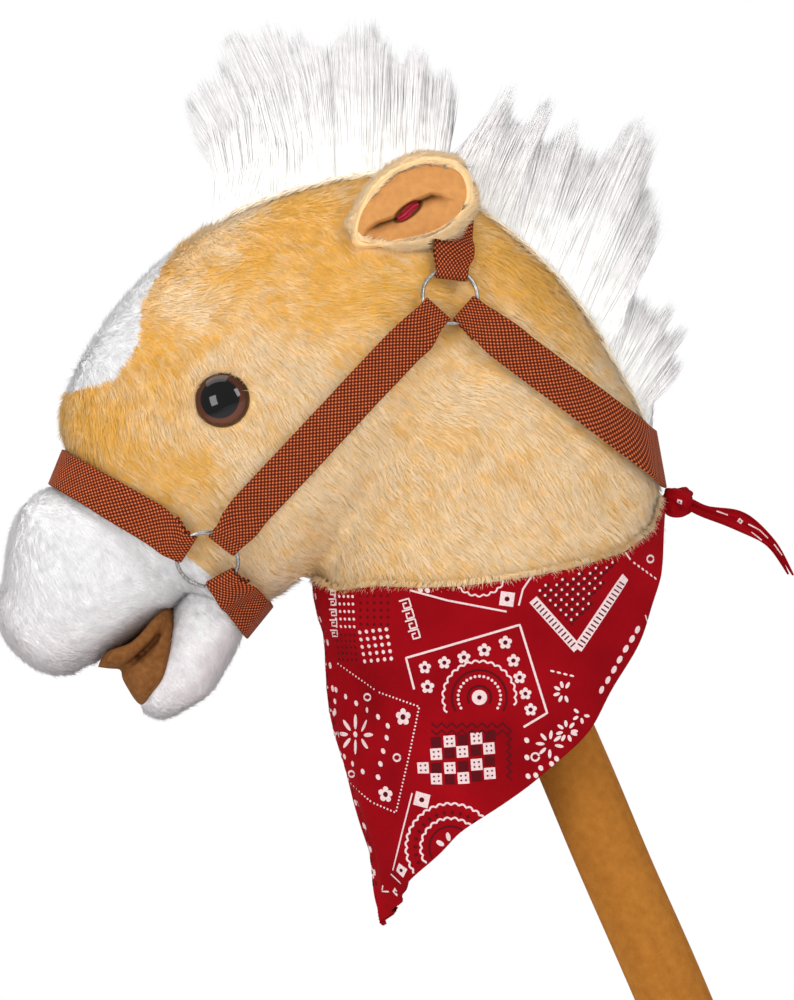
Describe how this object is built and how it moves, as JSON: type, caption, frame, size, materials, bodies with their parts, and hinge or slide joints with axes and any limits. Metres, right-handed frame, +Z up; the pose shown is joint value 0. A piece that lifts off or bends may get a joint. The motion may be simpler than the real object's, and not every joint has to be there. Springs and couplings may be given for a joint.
{
  "type": "hobby horse",
  "caption": "Plush horse head with a long mane, webbing halter with wire rings and a printed neckerchief, on a foam-covered stick that stands on a round foot cap.",
  "frame": {"origin": "centre of the foot cap's flat underside", "axes": "+Z up along the stick; -X the way the horse looks; -Y the horse's left side"},
  "size_m": [0.4009, 0.1325, 0.9458],
  "materials": {
    "plush_tan": "golden tan pile cloth over soft stuffing",
    "plush_white": "white pile cloth over soft stuffing",
    "plush_cream": "cream pile cloth",
    "pile_white": "long white pile",
    "suede_peach": "peach suede cloth",
    "suede_tan": "tan suede cloth",
    "webbing": "ribbed red-brown webbing",
    "steel": "thin bright wire",
    "eye_brown": "polished brown and black",
    "washer": "moulded",
    "sound_box": "moulded",
    "cotton_red": "printed red cotton",
    "satin_red": "red satin over a plastic button",
    "wood": "turned dowel",
    "foam": "matt golden-brown foam",
    "cap": "moulded, matt"
  },
  "bodies": {
    "horse": {"head": "plush_tan", "neck": "plush_tan", "neck_base_panel": "plush_tan", "blaze": "plush_white", "muzzle": "plush_white", "lower_jaw": "plush_white", "mouth_lining": "suede_tan", "left_ear": "plush_cream", "right_ear": "plush_cream", "left_ear_lining": "suede_peach", "right_ear_lining": "suede_peach", "forelock": "pile_white", "mane": "pile_white", "noseband": "webbing", "chin_strap": "webbing", "left_cheek_strap": "webbing", "right_cheek_strap": "webbing", "crown_strap": "webbing", "neck_strap": "webbing", "bandana": "cotton_red", "bandana_knot": "cotton_red", "left_eye": "eye_brown", "right_eye": "eye_brown", "left_eye_washer": "washer", "right_eye_washer": "washer", "sound_box": "sound_box", "stick_core": "wood", "foam_sleeve": "foam", "foot_cap": "cap", "top_cap": "cap", "neck_tie": "cap"},
    "left_cheek_ring_body": {"left_cheek_ring": "steel"},
    "right_cheek_ring_body": {"right_cheek_ring": "steel"},
    "left_jaw_ring_body": {"left_jaw_ring": "steel"},
    "right_jaw_ring_body": {"right_jaw_ring": "steel"},
    "sound_button_body": {"sound_button": "satin_red"}
  },
  "joints": [
    {"name": "left_cheek_ring_turn", "type": "hinge", "parent": "horse", "child": "left_cheek_ring_body", "pos_m": [0.03561, -0.05342, 0.78036], "axis": [0.2394, -0.9623, 0.1287], "continuous": true},
    {"name": "right_cheek_ring_turn", "type": "hinge", "parent": "horse", "child": "right_cheek_ring_body", "pos_m": [0.03562, 0.05348, 0.78038], "axis": [0.2383, 0.9624, 0.1302], "continuous": true},
    {"name": "left_jaw_ring_turn", "type": "hinge", "parent": "horse", "child": "left_jaw_ring_body", "pos_m": [-0.12566, -0.05451, 0.70839], "axis": [-0.2548, -0.8795, -0.402], "continuous": true},
    {"name": "right_jaw_ring_turn", "type": "hinge", "parent": "horse", "child": "right_jaw_ring_body", "pos_m": [-0.12568, 0.05453, 0.70838], "axis": [-0.2565, 0.8788, -0.4024], "continuous": true},
    {"name": "sound_button_press", "type": "slide", "parent": "horse", "child": "sound_button_body", "axis": [0, 1, 0], "range_m": [0, 0.002], "stiffness_N_per_m": 1200}
  ]
}
